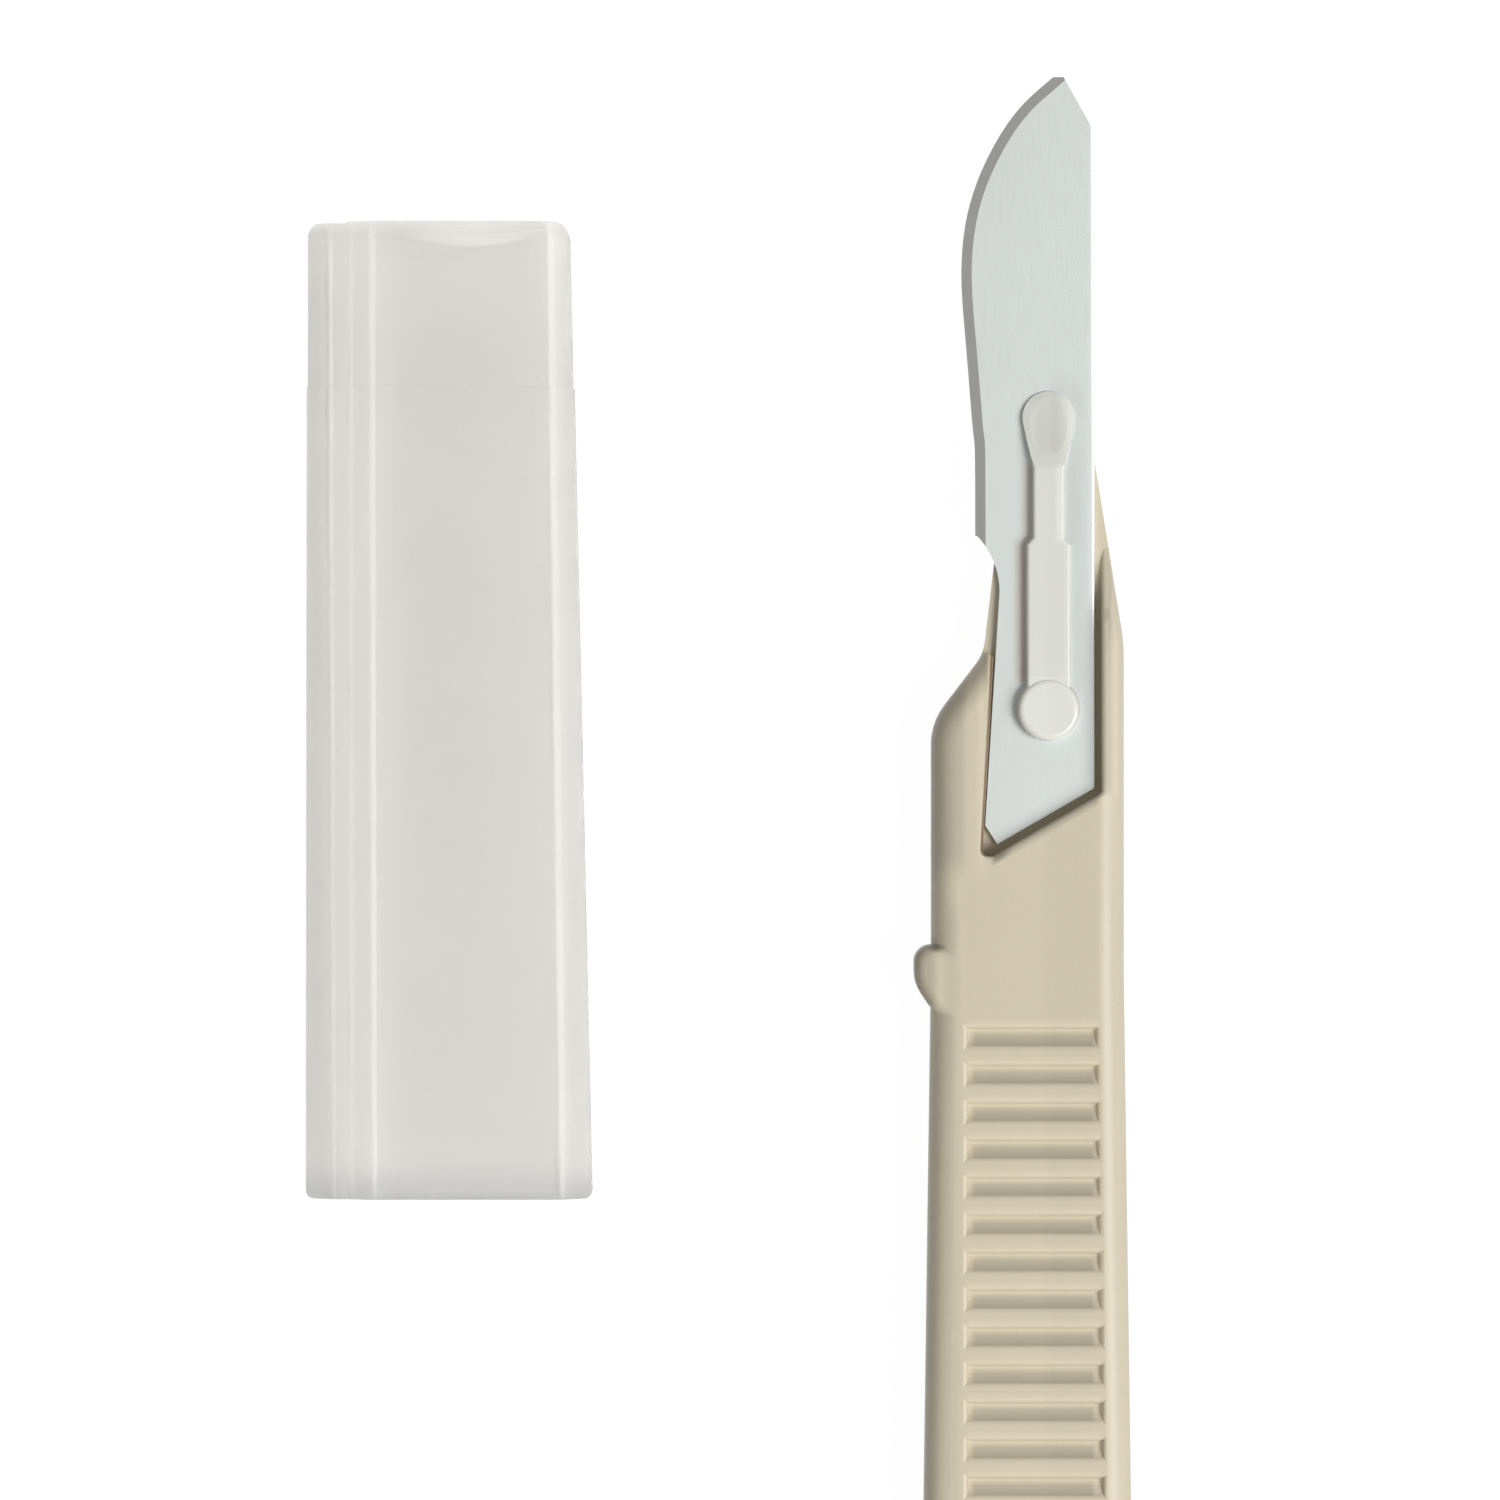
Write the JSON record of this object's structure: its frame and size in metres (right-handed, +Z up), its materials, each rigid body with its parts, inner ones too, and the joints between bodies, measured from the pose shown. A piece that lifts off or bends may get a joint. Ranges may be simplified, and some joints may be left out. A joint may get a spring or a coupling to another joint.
{
  "type": "scalpel",
  "caption": "Disposable scalpel lying flat: a grooved plastic handle whose keyhole boss holds a curved steel blade, with the hollow blade guard taken off and laid beside it.",
  "frame": {"origin": "on the handle's underside, on its centre line, level with the middle of the stop lug", "axes": "+Y along the scalpel from the butt to the blade's point, +X towards the back of the blade, +Z up from the face that it lies on"},
  "size_m": [0.0442, 0.148, 0.007],
  "materials": {
    "handle_plastic": "moulded, soft sheen",
    "blade_steel": "satin, with a ground edge",
    "guard_plastic": "milky, translucent"
  },
  "bodies": {
    "root": {"handle": "handle_plastic", "blade": "blade_steel", "blade_guard": "guard_plastic"}
  },
  "joints": []
}
